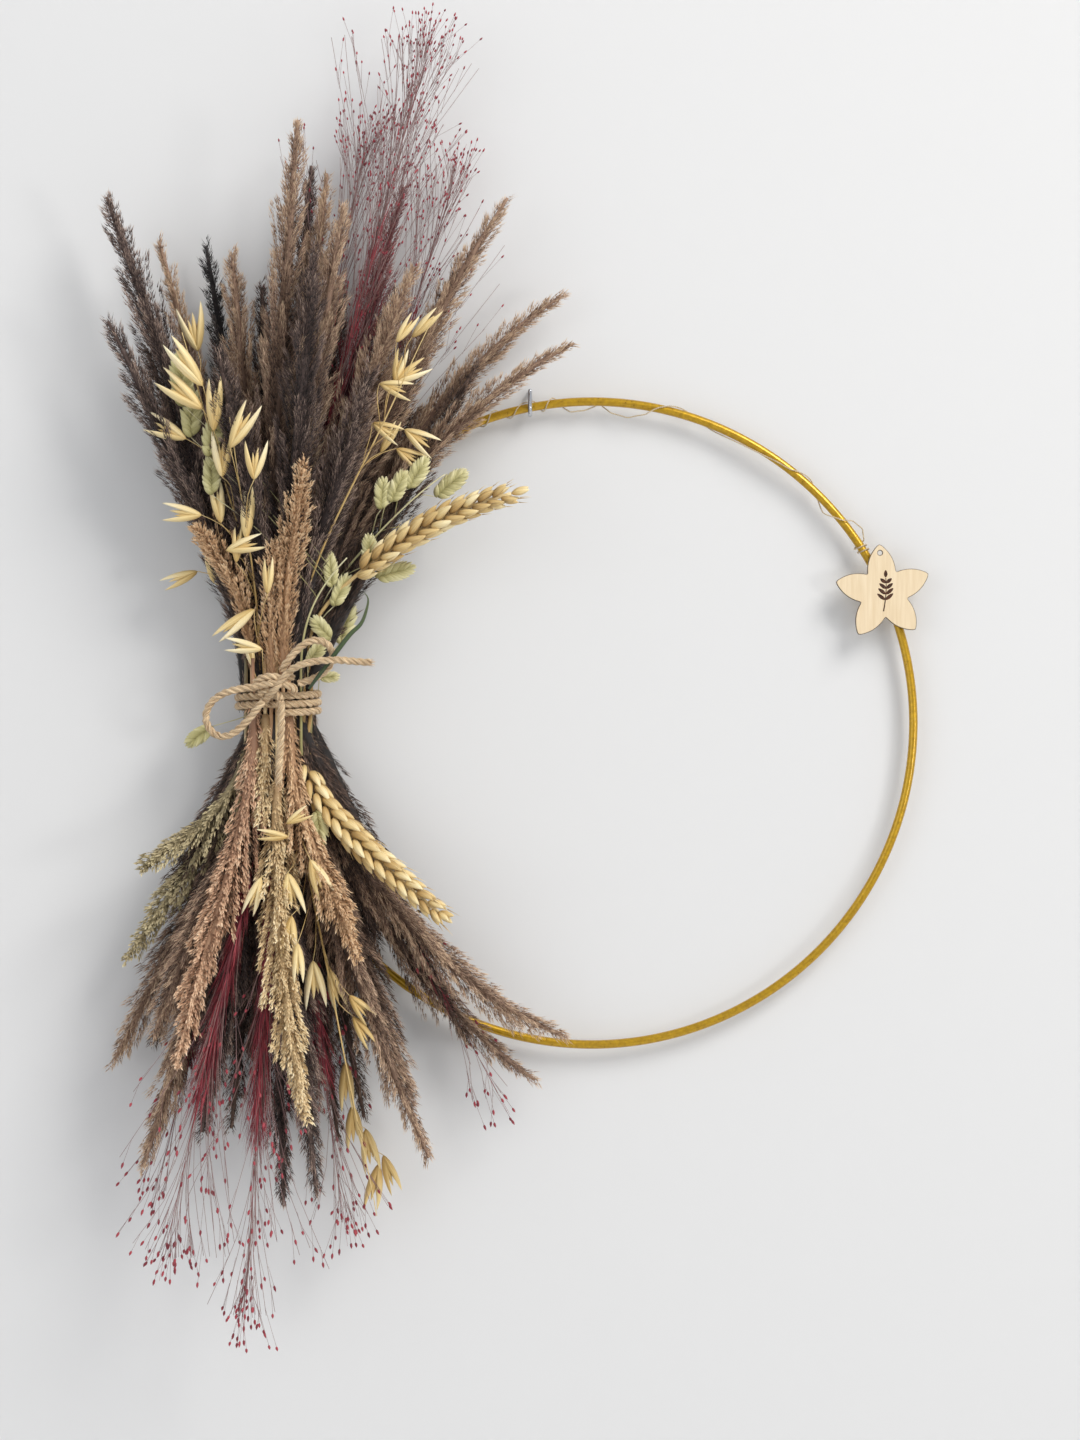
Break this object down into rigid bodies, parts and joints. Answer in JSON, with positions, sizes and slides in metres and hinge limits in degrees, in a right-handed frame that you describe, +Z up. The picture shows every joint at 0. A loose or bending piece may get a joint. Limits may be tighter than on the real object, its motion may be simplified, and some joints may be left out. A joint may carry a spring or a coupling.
{
  "type": "harvest door wreath",
  "caption": "Gold wire hoop hanging from a small wall hook, with a two-ended bundle of dried grasses tied across one side with jute and a wooden flower tag on the other.",
  "frame": {"origin": "where the hook's shank comes out of the wall or door, which is the plane Y = 0", "axes": "+Z up the wall, along the bundle; +Y into the wall, so the wreath is on the -Y side; +X to the right for someone facing the wreath"},
  "size_m": [0.3778, 0.0711, 0.6012],
  "materials": {
    "gold_paint": "satin",
    "plated_steel": "polished",
    "birch": "matte",
    "clear_glue": "gloss",
    "fine_twine": "matte",
    "jute": "matte",
    "brown_plume": "matte",
    "black_plume": "matte",
    "dark_plume": "matte",
    "maroon_plume": "matte",
    "tan_plume": "matte",
    "pink_plume": "matte",
    "cream_plume": "matte",
    "green_plume": "matte",
    "red_millet": "matte",
    "oat_spray": "matte",
    "quaking_grass": "matte",
    "wheat_ear": "matte"
  },
  "bodies": {
    "hook": {"wall_hook": "plated_steel"},
    "wreath": {"hoop": "gold_paint", "fine_twine": "fine_twine", "flower_tag": "birch", "glue_saddle": "clear_glue"},
    "bundle": {"black_plume_1": "black_plume", "bow_knot": "jute", "bow_loop_left": "jute", "bow_loop_right": "jute", "bow_tail_down": "jute", "bow_tail_right": "jute", "brown_plume_1": "brown_plume", "brown_plume_11": "brown_plume", "brown_plume_12": "brown_plume", "brown_plume_13": "brown_plume", "brown_plume_14": "brown_plume", "brown_plume_15": "brown_plume", "brown_plume_17": "brown_plume", "brown_plume_2": "brown_plume", "brown_plume_3": "brown_plume", "brown_plume_4": "brown_plume", "brown_plume_5": "brown_plume", "brown_plume_6": "brown_plume", "brown_plume_7": "brown_plume", "brown_plume_8": "brown_plume", "brown_plume_9": "brown_plume", "cream_plume_1": "cream_plume", "cream_plume_2": "cream_plume", "dark_plume_1": "dark_plume", "dark_plume_10": "dark_plume", "dark_plume_2": "dark_plume", "dark_plume_3": "dark_plume", "dark_plume_4": "dark_plume", "dark_plume_5": "dark_plume", "dark_plume_6": "dark_plume", "dark_plume_7": "dark_plume", "dark_plume_8": "dark_plume", "dark_plume_9": "dark_plume", "green_plume_1": "green_plume", "green_plume_2": "green_plume", "jute_wraps": "jute", "maroon_plume_1": "maroon_plume", "oat_spray_1": "oat_spray", "oat_spray_2": "oat_spray", "oat_spray_3": "oat_spray", "oat_spray_4": "oat_spray", "pink_plume_1": "pink_plume", "pink_plume_2": "pink_plume", "quaking_grass_1": "quaking_grass", "quaking_grass_2": "quaking_grass", "red_millet_1": "red_millet", "red_millet_2": "red_millet", "red_millet_4": "red_millet", "red_millet_5": "red_millet", "red_millet_6": "red_millet", "tan_plume_1": "tan_plume", "tan_plume_2": "tan_plume", "tan_plume_3": "tan_plume", "wheat_ear_1": "wheat_ear", "wheat_ear_2": "wheat_ear"}
  },
  "joints": [
    {"name": "wreath_swing", "type": "hinge", "parent": "hook", "child": "wreath", "pos_m": [0, -0.007, -0.0072], "axis": [0, 1, 0], "range_deg": [-15, 15]},
    {"name": "bundle_slide", "type": "hinge", "parent": "wreath", "child": "bundle", "pos_m": [0.0285, -0.007, -0.15243], "axis": [0, -1, 0], "range_deg": [0, 10]}
  ]
}
